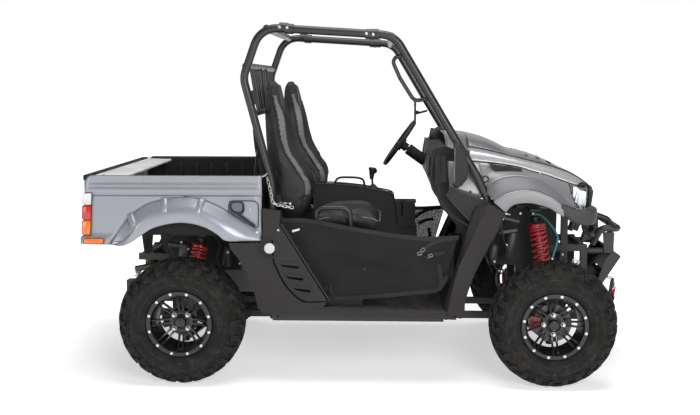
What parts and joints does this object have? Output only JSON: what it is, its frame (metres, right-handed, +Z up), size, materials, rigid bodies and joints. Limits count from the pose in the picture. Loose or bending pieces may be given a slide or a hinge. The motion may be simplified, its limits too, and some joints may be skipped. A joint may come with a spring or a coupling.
{
  "type": "side by side utility vehicle",
  "caption": "Open two-seat side by side utility vehicle with roll cage, tilting cargo bed, opening tailgate and hood, steered front wheels.",
  "frame": {"origin": "on the ground under the middle of the vehicle", "axes": "+X forward, +Y to the driver's left, +Z up"},
  "size_m": [2.9, 1.63, 1.865],
  "materials": {
    "black_metal": "satin black powder coat",
    "black_plastic": "grained matte black",
    "dark_grey_plastic": "grained dark grey",
    "silver_paint": "bluish silver metallic, satin clear coat",
    "grey_paint": "mid grey, satin",
    "seat_vinyl": "black vinyl with a grey bolster stripe",
    "net_fabric": "black woven mesh",
    "red_paint": "gloss red",
    "steel": "machined steel",
    "cast_grey": "cast, dark grey",
    "rim_black": "gloss black with machined accents",
    "tyre": "matt rubber",
    "lamp_clear": "clear lens over a chrome bowl",
    "lamp_red": "red lens with an amber and a white part",
    "rubber": "moulded rubber",
    "mirror_black": "black shell with mirror glass"
  },
  "bodies": {
    "chassis": {"frame": "black_metal", "side_rails": "black_metal", "roll_cage": "black_metal", "floor_pan": "black_plastic", "seat_base": "black_plastic", "quarter_panels": "dark_grey_plastic", "sill_panels": "dark_grey_plastic", "front_posts": "dark_grey_plastic", "front_fenders": "grey_paint", "front_cowl": "black_plastic", "dashboard": "black_plastic", "console": "black_plastic", "pedals": "black_metal", "hip_bars": "black_metal", "side_nets": "net_fabric", "mirrors": "mirror_black", "steering_column": "black_metal", "headlights": "lamp_clear", "front_grille": "black_plastic", "front_valance": "dark_grey_plastic", "brush_guard": "black_metal", "winch": "steel", "powertrain": "cast_grey", "wheel_liners": "black_plastic", "half_shafts": "rubber", "muffler": "steel", "hitch": "black_metal", "suspension_arms": "black_metal", "shocks": "red_paint", "seat_cushions": "seat_vinyl", "seat_backs": "seat_vinyl", "rear_knuckles": "cast_grey"},
    "hood": {"hood": "silver_paint"},
    "cargo_bed": {"bed_tub": "black_metal", "bed_sides": "silver_paint", "tail_lamps": "lamp_red"},
    "tailgate": {"tailgate": "silver_paint"},
    "steering_wheel": {"steering_wheel": "rubber"},
    "steering_rack": {"steering_rack": "steel"},
    "knuckle_left": {"front_knuckle_left": "cast_grey"},
    "knuckle_right": {"front_knuckle_right": "cast_grey"},
    "wheel_front_left": {"tyre_front_left": "tyre", "rim_front_left": "rim_black"},
    "wheel_front_right": {"tyre_front_right": "tyre", "rim_front_right": "rim_black"},
    "wheel_rear_left": {"tyre_rear_left": "tyre", "rim_rear_left": "rim_black"},
    "wheel_rear_right": {"tyre_rear_right": "tyre", "rim_rear_right": "rim_black"}
  },
  "joints": [
    {"name": "wheel_front_left_spin", "type": "hinge", "parent": "knuckle_left", "child": "wheel_front_left", "pos_m": [0.991, 0.65, 0.33], "axis": [0, 1, 0], "continuous": true},
    {"name": "wheel_front_right_spin", "type": "hinge", "parent": "knuckle_right", "child": "wheel_front_right", "pos_m": [0.991, -0.65, 0.33], "axis": [0, 1, 0], "continuous": true},
    {"name": "wheel_rear_left_spin", "type": "hinge", "parent": "chassis", "child": "wheel_rear_left", "pos_m": [-0.939, 0.65, 0.33], "axis": [0, 1, 0], "continuous": true},
    {"name": "wheel_rear_right_spin", "type": "hinge", "parent": "chassis", "child": "wheel_rear_right", "pos_m": [-0.939, -0.65, 0.33], "axis": [0, 1, 0], "continuous": true},
    {"name": "steer_left", "type": "hinge", "parent": "chassis", "child": "knuckle_left", "pos_m": [0.991, 0.545, 0.33], "axis": [0, 0, 1], "range_deg": [-28, 28]},
    {"name": "steer_right", "type": "hinge", "parent": "chassis", "child": "knuckle_right", "pos_m": [0.991, -0.545, 0.33], "axis": [0, 0, 1], "range_deg": [-28, 28]},
    {"name": "steering_wheel_turn", "type": "hinge", "parent": "chassis", "child": "steering_wheel", "pos_m": [0.206, 0.33, 1.206], "axis": [-0.8168, 0, 0.5769], "range_deg": [-336, 336]},
    {"name": "rack_slide", "type": "slide", "parent": "chassis", "child": "steering_rack", "axis": [0, -1, 0], "range_m": [-0.0425, 0.0425]},
    {"name": "hood_hinge", "type": "hinge", "parent": "chassis", "child": "hood", "pos_m": [0.568, 0, 1.258], "axis": [0, -1, 0], "range_deg": [0, 50]},
    {"name": "bed_tilt", "type": "hinge", "parent": "chassis", "child": "cargo_bed", "pos_m": [-1.214, 0, 0.632], "axis": [0, -1, 0], "range_deg": [0, 40]},
    {"name": "tailgate_hinge", "type": "hinge", "parent": "cargo_bed", "child": "tailgate", "pos_m": [-1.392, 0, 0.8], "axis": [0, -1, 0], "range_deg": [0, 90]}
  ],
  "couplings": [
    {"joint": "steer_right", "follows": "steer_left", "ratio": 1},
    {"joint": "steering_wheel_turn", "follows": "steer_left", "ratio": 12},
    {"joint": "rack_slide", "follows": "steer_left", "m_per_rad": 0.086}
  ]
}
